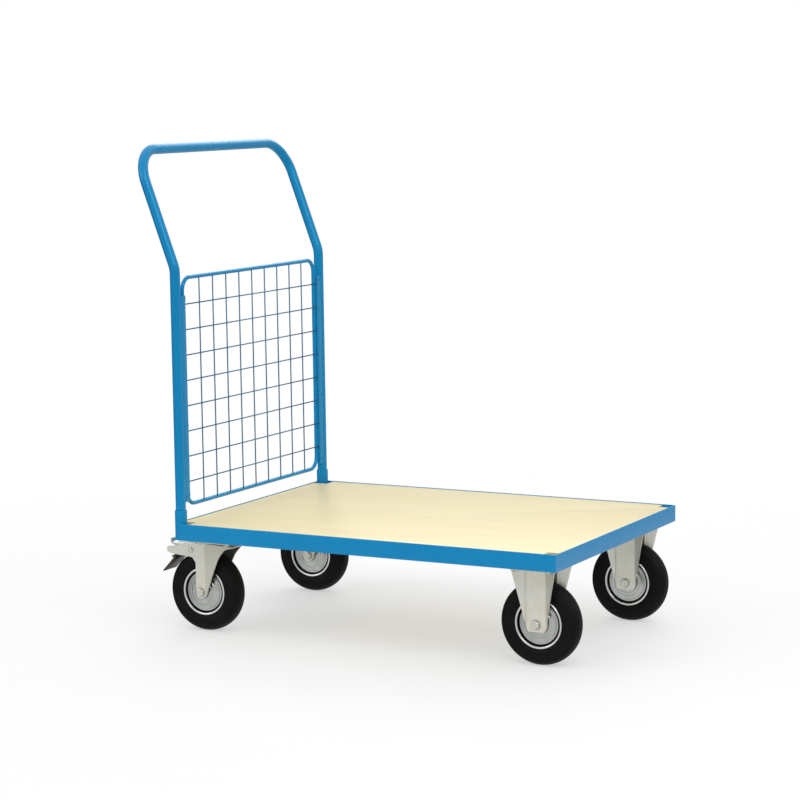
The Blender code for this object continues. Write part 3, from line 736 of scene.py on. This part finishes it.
def rim(kind, name, at):
    """Rolled lip, groove and domed disc with two pressed steps; the lip is painted lighter as a highlight,
    the groove black as its shade and the disc darker as shade.
    """
    inner = [(57.4, 16.5), (54.0, 8.4), (49.8, 8.4), (47.0, 14.0), (15.4, 20.2)]
    disc = [(15.4, 24.2), (19, 24.6), (24, 24.2), (25.4, 23.2), (27, 23.6), (33, 22.9), (34.6, 21.2)]
    disc += [(36.6, 21.0), (43.0, 20.0), (44.4, 19.5), (45.2, 18.0), (46.4, 17.9), (48.6, 17.4)]
    disc += [(49.5, 16.2), (49.9, 11.4)]
    lip = [(53.8, 11.4), (53.9, 17.8), (54.4, 20.9), (55.8, 22.4), (58.4, 22.3), (59.6, 21.0), (60.0, 19.2)]
    half = [(r * MM, y * MM) for r, y in inner]
    half += curve_through([(r * MM, y * MM) for r, y in disc])
    half += curve_through([(r * MM, y * MM) for r, y in lip])
    profile = half + [(r, -y) for r, y in reversed(half)]
    centre = Vector(at)

    def lip_groove_or_disc(face):
        offset = face.center - centre
        radius = math.hypot(offset.x, offset.z)
        # Painted shade: the groove's faces are coloured black.
        if 49.4 * MM < radius < 54.2 * MM:
            return 1 if abs(offset.y) < 16.4 * MM else 0
        # The disc takes the darker zinc of painted shade, the lip the lighter zinc of painted highlight.
        return 2 if radius < 50 * MM else 0

    node = f"{kind}_rim_{name}"
    bm = lathe(profile, "Y", at, 112)
    piece(f"rim_{kind}_{name}", bm, f"{kind}_wheel_{name}", [LIT_LIP_ZINC, GROOVE_SHADE, SHADED_DISC_ZINC], [node], 40,
          lip_groove_or_disc)


def hub(kind, name, at):
    """Tube that turns on the axle bolt."""
    bore, r, half = AXLE_HOLE_R, 15 * MM, 29.9 * MM
    profile = rounded(((bore, -half), (r, -half), (r, half), (bore, half)), 1.6 * MM, 4)
    bm = lathe(profile, "Y", at, 56)
    node = f"{kind}_hub_{name}"
    piece(f"hub_{kind}_{name}", bm, f"{kind}_wheel_{name}", [ZINC], [node], 40)


def axle(kind, name, at, body):
    """Hex bolt with washers; the head is on the near side and the nut on the far side."""
    washer_r, flats, bore = 10.6 * MM, 9.2 * MM, 6.2 * MM
    face = LEG_OUT + 0.1 * MM
    seat = face + 1.4 * MM
    bm = bmesh.new()
    rod(bm, at, "Y", AXLE_R, -face - 2 * MM, face + 11 * MM)
    rod(bm, at, "Y", washer_r, -seat, -face, 48)
    hexagon(bm, at, "Y", flats, -seat, -face - 8.2 * MM)
    node = f"{kind}_axle_{name}"
    piece(f"axle_bolt_{kind}_{name}", bm, body, [BOLT_ZINC], [node], 30)
    bm = bmesh.new()
    profile = rounded(((bore, face), (washer_r, face), (washer_r, seat), (bore, seat)), 0.3 * MM, 2)
    skin(bm, [ring(r, h, 48, "Y", at) for r, h in profile], closed=True)
    hexagon(bm, at, "Y", flats, seat, face + 8.6 * MM, bore)
    node = f"{kind}_nut_{name}"
    piece(f"axle_nut_{kind}_{name}", bm, body, [BOLT_ZINC], [node], 30)


def wheel(kind, name, at, holder):
    """Tyre, rim and hub, and the axle bolt that stays with its holder."""
    tyre(kind, name, at)
    rim(kind, name, at)
    hub(kind, name, at)
    axle(kind, name, at, holder)


# Forks -----------------------------------------------------------------------------------------


def plan_outline(half_width, inset):
    """Plan of a fork, rounded a little at its creases, `inset` inside the outer face."""
    near = [(x, w - inset) for x, w in half_width]
    if inset:
        near = [extended(near[1], near[0])] + near[1:-1] + [extended(near[-2], near[-1])]
    points = near + [(x, -w) for x, w in reversed(near)]
    last = len(near) - 1
    radii = [0 if i % (last + 1) in (0, last) else 1.5 * MM for i in range(len(points))]
    return rounded(points, radii, 3)


def extended(start, end):
    """`end` moved 10 mm further from `start`."""
    a, b = Vector(start), Vector(end)
    return tuple(b + (b - a).normalized() * 10 * MM)


def bend_top(ob, height, radius):
    """Rounds the long edges between the web and the legs."""
    bm = bmesh.new()
    bm.from_mesh(ob.data)
    bmesh.ops.dissolve_limit(bm, angle_limit=math.radians(0.5), verts=bm.verts, edges=bm.edges)
    chosen = []
    for edge in bm.edges:
        if len(edge.link_faces) != 2 or min(v.co.z for v in edge.verts) < height - 0.05 * MM:
            continue
        normals = [face.normal for face in edge.link_faces]
        if max(abs(n.z) for n in normals) > 0.95 and max(abs(n.y) for n in normals) > 0.7:
            chosen.append(edge)
    bmesh.ops.bevel(bm, geom=chosen, offset=radius, segments=7, profile=0.5, affect="EDGES",
                    clamp_overlap=True)
    bm.to_mesh(ob.data)
    bm.free()


def pressed_fork(name, at, body, node, side_view, half_width, top):
    """Sheet fork: the side outline kept inside its plan outline, bent over at the top, then hollowed.
    `half_width` holds (x, half width) pairs along the fork."""
    far = 250 * MM                 # beyond anything of the fork
    ob = piece(name, shifted(prism(side_view, "Y", -far, far), at), body, [ZINC], [node])
    cut(ob, shifted(prism(plan_outline(half_width, 0), "Z", -far, far), at), "INTERSECT")
    bend_top(ob, at[2] + top, TOP_BEND)
    hollow = prism(plan_outline(half_width, LEG_T), "Z", -far, top - LEG_T)
    core = piece(f"{name}_core", shifted(hollow, at), body, [ZINC], [])
    bend_top(core, at[2] + top - LEG_T, TOP_BEND - LEG_T)
    tool = bmesh.new()
    tool.from_mesh(core.data)
    bpy.data.objects.remove(core)
    cut(ob, tool)
    drill(ob, at, "Y", AXLE_HOLE_R, -far, far, 40)
    return ob


def crisp(ob):
    """Fine rounding on the sheet's edges, with flat faces kept flat in the shading."""
    soften(ob, 0.5 * MM)
    ob.modifiers.new("flat_faces", "WEIGHTED_NORMAL").keep_sharp = True
    settle(ob)


def fixed_fork(name, at):
    """Flat-faced fork whose edges flare outward beyond the creases."""
    node = f"fixed_fork_{name}"
    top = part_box(node)[1].z - at[2]
    corners = (
        (18.5 * MM, -17 * MM), (25 * MM, -10 * MM), (27 * MM, 2 * MM), (55 * MM, top),
        (-55 * MM, top), (-27 * MM, 2 * MM), (-25 * MM, -10 * MM), (-18.5 * MM, -17 * MM),
    )
    outline = rounded(corners, (3 * MM, 4 * MM, 30 * MM, 0, 0, 30 * MM, 4 * MM, 3 * MM), 5)
    side = [(23.8 * MM, LEG_OUT), (25.0 * MM, LEG_OUT - CREASE), (26.6 * MM, LEG_OUT - CREASE)]
    side += [(28.6 * MM, LEG_OUT + 1.0 * MM), (41 * MM, 42 * MM), (55 * MM, 51 * MM), (70 * MM, 60 * MM)]
    half_width = [(-x, w) for x, w in reversed(side)] + side
    ob = pressed_fork(f"fork_fixed_{name}", at, "chassis", node, outline, half_width, top)
    # The web ends 50 mm from the axle, and only the legs go on.
    half = 44 * MM
    for end in (-1, 1):
        low, high = sorted((end * 50 * MM, end * 100 * MM))
        trim = ((low, -half), (high, -half), (high, half), (low, half))
        cut(ob, shifted(prism(trim, "Z", top - 20 * MM, top + 20 * MM), at))
    crisp(ob)


def swivel_fork(name, at, body):
    """Straight leg, flared wing sweeping up to the swivel head and an arm reaching back beside the brake."""
    node = f"swivel_fork_{name}"
    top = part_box(node)[1].z - at[2]
    corners = [
        (106, top / MM, 0), (106, 121, 1), (76, 113.5, 30), (56, 89, 60), (37, 47, 90), (23, 14, 60),
        (16, -2, 30), (9, -14, 10), (-7, -16, 8), (-14, -5, 10), (-14, 74, 8), (-24, 87, 9), (-86, 92, 20),
        (-98, 98, 7), (-97, 109, 7), (-68, 113, 20), (-40, top / MM, 0),
    ]
    outline = rounded([(x * MM, z * MM) for x, z, _ in corners], [r * MM for _, _, r in corners], 5)
    half_width = [(-130 * MM, LEG_OUT), (11.6 * MM, LEG_OUT), (13 * MM, LEG_OUT - CREASE)]
    half_width += [(14.8 * MM, LEG_OUT - CREASE), (16.6 * MM, LEG_OUT + 0.5 * MM)]
    half_width += [(130 * MM, LEG_OUT + 22 * MM)]
    ob = pressed_fork(f"fork_swivel_{name}", at, body, node, outline, half_width, top)
    open_arms(ob, at)
    low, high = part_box(f"swivel_race_{name}")
    middle = (low + high) / 2
    drill(ob, (middle.x, middle.y, 0), "Z", PIN_HOLE_R, 200 * MM, 300 * MM, 32)
    drill(ob, brake_pivot(at), "Y", RIVET_HOLE_R, -200 * MM, 200 * MM, 24)
    crisp(ob)
    paint_wing_shade(ob, at)


def open_arms(ob, at):
    """Clears the fork between its arms, where the brake sits."""
    inner, front, back = LEG_OUT - LEG_T, -20 * MM, -130 * MM
    plan = ((back, -inner), (front, -inner), (front, inner), (back, inner))
    cut(ob, shifted(prism(plan, "Z", 30 * MM, 200 * MM), at))


def brake_pivot(at):
    """Middle of the brake's rivet, for a wheel whose middle is `at`."""
    px, pz = BRAKE_PIVOT
    return (at[0] + px, at[1], at[2] + pz)


def paint_wing_shade(ob, at):
    """Painted shade: dark zinc on the inner faces of the fork's wings, which lie in shadow."""
    ob.data.materials.append(SHADED_WING_ZINC)
    wing_x = at[0] + 12 * MM
    for face in ob.data.polygons:
        inward = face.normal.y * (face.center.y - at[1]) < 0
        face.material_index = int(inward and abs(face.normal.y) > 0.6 and face.center.x > wing_x)


# Castor heads and brakes -----------------------------------------------------------------------


def head_plate(kind, name, bore):
    """Top plate with rounded corners; the swivel one has a hole for the king pin."""
    node = f"{kind}_plate_{name}"
    low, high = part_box(node)
    ob = piece(f"top_plate_{kind}_{name}", prism(plate_outline(low, high, 10 * MM), "Z", low.z, high.z),
               "chassis", [ZINC], [node])
    if bore:
        x, y = (low.x + high.x) / 2, (low.y + high.y) / 2
        drill(ob, (x, y, 0), "Z", PIN_HOLE_R, low.z - 10 * MM, high.z + 10 * MM, 32)
    soften(ob, 0.5 * MM)


def fixing_bolts(kind, name):
    """Four bolts through the plate and the painted pad; heads below, nuts above in the channel."""
    low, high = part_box(f"{kind}_plate_{name}")
    pad_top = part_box(f"castor_mount_{kind}_{name}")[1].z
    x0, y0 = (low.x + high.x) / 2, (low.y + high.y) / 2
    bm = bmesh.new()
    for sx in (-1, 1):
        for sy in (-1, 1):
            at = (x0 + sx * BOLT_X, y0 + sy * BOLT_Y, 0)
            hexagon(bm, at, "Z", 6.5 * MM, low.z, low.z - 5.4 * MM)
            rod(bm, at, "Z", 4 * MM, low.z - 1 * MM, pad_top + 9 * MM, 24)
            hexagon(bm, at, "Z", 6.5 * MM, pad_top, pad_top + 6.5 * MM, bore=4 * MM)
    piece(f"fixing_bolts_{kind}_{name}", bm, "chassis", [BOLT_ZINC], [], 30)


def swivel_head(name):
    """Race ring under the plate, and the king pin through plate, race and fork."""
    node = f"swivel_race_{name}"
    low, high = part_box(node)
    x, y = (low.x + high.x) / 2, (low.y + high.y) / 2
    corners = ((15 * MM, low.z), (33 * MM, low.z), (39 * MM, low.z + 2.4 * MM), (38 * MM, high.z - 1 * MM),
               (36 * MM, high.z), (15 * MM, high.z))
    profile = rounded(corners, (0, 1.5 * MM, 1.5 * MM, 1 * MM, 0.5 * MM, 0), 4)
    piece(f"race_{name}", lathe(profile, "Z", (x, y, 0), 72), "chassis", [ZINC], [node])
    node = f"king_pin_{name}"
    pin_low, pin_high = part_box(node)
    under_web = pin_low.z + 6 * MM
    bm = bmesh.new()
    rod(bm, (x, y, 0), "Z", PIN_R, under_web - 1 * MM, pin_high.z, 32)
    hexagon(bm, (x, y, 0), "Z", 11 * MM, under_web, pin_low.z)
    piece(f"pin_{name}", bm, "chassis", [BOLT_ZINC], [node], 30)


def rivet(name, pivot):
    """Rivet through both arms of the fork, with a low domed head on each side."""
    reach = LEG_OUT + 0.2 * MM
    half = [(4 * MM, reach), (6.3 * MM, reach), (6.5 * MM, reach + 0.5 * MM), (5.9 * MM, reach + 1.6 * MM)]
    half += [(4.2 * MM, reach + 2.4 * MM), (2 * MM, reach + 2.8 * MM)]
    rings = [ring(r, -y, 36, "Y", pivot) for r, y in reversed(half)]
    rings += [ring(r, y, 36, "Y", pivot) for r, y in half]
    piece(f"rivet_{name}", loft(rings), f"fork_{name}", [BOLT_ZINC], [f"brake_pin_{name}"], 50)


def brake_piece(kind, name, pivot, outline, half_width, look):
    """Side outline round the pivot, drawn out across the castor."""
    bm = shifted(prism(outline, "Y", -half_width, half_width), pivot)
    return piece(f"{kind}_{name}", bm, f"brake_{name}", [look], [f"brake_{kind}_{name}"])


def lever(name, pivot):
    """Lever with a rounded end at the rivet, turned up at its back."""
    outline = arc((0, 0), 7 * MM, -60, 90, 12)
    outline += outline_mm([(-28, 9.5), (-63, 11.2), (-67, 13.5), (-69, 22.5), (-71.8, 22.2), (-70.2, 11.5),
                           (-66.5, 8.2), (-54, 4), (-34, -6), (-22, -5.5)])
    ob = brake_piece("lever", name, pivot, outline, 15 * MM, BOLT_ZINC)
    drill(ob, pivot, "Y", RIVET_HOLE_R, -200 * MM, 200 * MM, 24)
    soften(ob, 0.6 * MM)


def pedal(name, pivot):
    """Bent tread plate that hangs from the lever behind the wheel."""
    outline = outline_mm([(-49, 1), (-53.5, -18), (-60.5, -18.5), (-61.2, -20.8), (-55.5, -23.5),
                          (-86.5, -57), (-87.5, -60), (-84.5, -60), (-51, -26.5), (-49.2, -20),
                          (-45.8, -3.5), (-35.6, -8.6), (-34.8, -6.2)])
    soften(brake_piece("pedal", name, pivot, outline, 28 * MM, PEDAL), 0.4 * MM)


def shoe(name, pivot):
    """Rubber block under the lever, facing the tyre."""
    outline = outline_mm([(-23, -6.2), (-33.6, -6.6), (-33.6, -17), (-28, -14.3), (-23, -12.4)])
    soften(brake_piece("shoe", name, pivot, outline, 12 * MM, SHOE), 0.5 * MM)


def brake(name, at):
    """Lever on a rivet through the arms, with a dark tread plate and a shoe over the tyre."""
    pivot = brake_pivot(at)
    rivet(name, pivot)
    lever(name, pivot)
    pedal(name, pivot)
    shoe(name, pivot)


def castors():
    """The four castors, each round the middle of its tyre."""
    for name, _ in SIDES:
        low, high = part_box(f"fixed_tyre_{name}")
        at = (low + high) / 2
        head_plate("fixed", name, bore=False)
        fixed_fork(name, at)
        wheel("fixed", name, at, "chassis")
        fixing_bolts("fixed", name)
        low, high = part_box(f"swivel_tyre_{name}")
        at = (low + high) / 2
        head_plate("swivel", name, bore=True)
        swivel_head(name)
        swivel_fork(name, at, f"fork_{name}")
        wheel("swivel", name, at, f"fork_{name}")
        fixing_bolts("swivel", name)
        brake(name, at)


# Studio ----------------------------------------------------------------------------------------


def mirrored_low(tree, direction, towards):
    """Brightness that metal mirrors from low down: dim to the left of the trolley, pale elsewhere.
    `towards` is 1 where the direction points back along the ray, -1 where it points along it."""
    split = tree.nodes.new("ShaderNodeSeparateXYZ")
    tree.links.new(direction, split.inputs[0])
    dim, pale = 0.16, 0.72
    return mapped(tree, split.outputs["X"], (0.95 * towards, 0.62 * towards), (dim, pale))


def floor_shader(look):
    """The floor glows a little for the camera, so that shadows stay faint.  Metal and paint mirror it
    dimmer."""
    tree = look.tree
    path = tree.nodes.new("ShaderNodeLightPath")
    half = tree.nodes.new("ShaderNodeMath")
    half.operation = "MULTIPLY"
    tree.links.new(path.outputs["Is Camera Ray"], half.inputs[0])
    half.inputs[1].default_value = 0.5
    glow = tree.nodes.new("ShaderNodeEmission").outputs[0]
    pale = mixed_shader(tree, half.outputs[0], look.shader.outputs[0], glow)
    dim = tree.nodes.new("ShaderNodeEmission")
    incoming = tree.nodes.new("ShaderNodeNewGeometry").outputs["Incoming"]
    tree.links.new(mirrored_low(tree, incoming, 1), dim.inputs["Strength"])
    return mixed_shader(tree, path.outputs["Is Glossy Ray"], pale, dim.outputs[0])


def floor():
    """Pale floor that fades into the backdrop away from the trolley."""
    bpy.ops.mesh.primitive_circle_add(vertices=96, radius=8, fill_type="NGON")
    ob = bpy.context.object
    ob.name = "floor"
    look = Look("pale_floor")
    tree = look.tree
    grain = look.spread(look.noise(3, 4), 0.0, 1.0)
    look.finish(look.blend(grain, (0.90, 0.90, 0.90), (0.88, 0.88, 0.885)), 0.75)
    length = tree.nodes.new("ShaderNodeVectorMath")
    length.operation = "LENGTH"
    tree.links.new(look.place, length.inputs[0])
    fade = look.spread(length.outputs["Value"], 0.0, 1.0, 0.9, 2.4)
    clear = tree.nodes.new("ShaderNodeBsdfTransparent").outputs[0]
    surface = mixed_shader(tree, fade, floor_shader(look), clear)
    tree.links.new(surface, tree.nodes["Material Output"].inputs["Surface"])
    ob.data.materials.append(look.material)


def glowing(tree, strength):
    """Pale grey background of the given strength."""
    made = tree.nodes.new("ShaderNodeBackground")
    made.inputs["Color"].default_value = (0.8, 0.8, 0.8, 1)
    feed(tree, made.inputs["Strength"], strength)
    return made.outputs[0]


def backdrop():
    """White to the camera; softer and darker low down where metal and paint mirror it."""
    world = bpy.data.worlds.new("studio")
    bpy.context.scene.world = world
    world.use_nodes = True
    tree = world.node_tree
    seen = tree.nodes["Background"]
    seen.inputs["Color"].default_value = (1, 1, 1, 1)
    seen.inputs["Strength"].default_value = 1.0
    place = tree.nodes.new("ShaderNodeTexCoord").outputs["Generated"]
    split = tree.nodes.new("ShaderNodeSeparateXYZ")
    tree.links.new(place, split.inputs[0])
    height = split.outputs["Z"]
    mirrored = glowing(tree, mapped(tree, height, (0.02, 0.5), (mirrored_low(tree, place, -1), 1.15)))
    lighting = glowing(tree, mapped(tree, height, (-0.15, 0.75), (0.30, 1.15)))
    path = tree.nodes.new("ShaderNodeLightPath")
    unseen = mixed_shader(tree, path.outputs["Is Glossy Ray"], lighting, mirrored)
    surface = mixed_shader(tree, path.outputs["Is Camera Ray"], unseen, seen.outputs[0])
    tree.links.new(surface, tree.nodes["World Output"].inputs["Surface"])


def softbox(name, place, target, size, watts):
    """Rectangular area light at `place`, turned towards the target."""
    light = bpy.data.lights.new(name, "AREA")
    light.shape = "RECTANGLE"
    light.size, light.size_y = size
    light.energy = watts
    ob = bpy.data.objects.new(name, light)
    bpy.context.collection.objects.link(ob)
    ob.location = place
    ob.rotation_euler = (Vector(target) - Vector(place)).to_track_quat("-Z", "Y").to_euler()


def camera():
    """Long lens at standing distance: 28 degrees round from the long side, 7 degrees above the horizon."""
    azimuth, elevation = math.radians(27.95), math.radians(7.27)
    roll = math.radians(-0.82)
    distance, target = 6.17, Vector((-0.03, 0, 0.563))
    back = Vector((math.sin(azimuth) * math.cos(elevation), -math.cos(azimuth) * math.cos(elevation),
                   math.sin(elevation)))
    data = bpy.data.cameras.new("camera")
    data.sensor_width = 36
    data.lens = 112
    ob = bpy.data.objects.new("camera", data)
    bpy.context.collection.objects.link(ob)
    ob.location = target + back * distance
    facing = (-back).to_track_quat("-Z", "Y").to_matrix() @ Matrix.Rotation(roll, 3, "Z")
    ob.rotation_euler = facing.to_euler()
    bpy.context.scene.camera = ob


def studio():
    """Floor, backdrop, three soft lights and the camera."""
    floor()
    backdrop()
    middle = (0, 0, 0.5)
    softbox("key", (2.6, -2.2, 3.6), middle, (2.6, 2.6), 55)
    softbox("fill", (-3.2, -3.0, 2.2), middle, (2.8, 2.2), 26)
    softbox("rim_light", (-1.0, 3.4, 2.8), middle, (3.0, 1.6), 34)
    camera()
    bpy.context.scene.view_settings.view_transform = "Standard"


rails()
board()
cross_members()
castor_mounts()
sockets()
rim_welds()
handle()
mesh_bar()
mesh_wires()
strips()
castors()
studio()
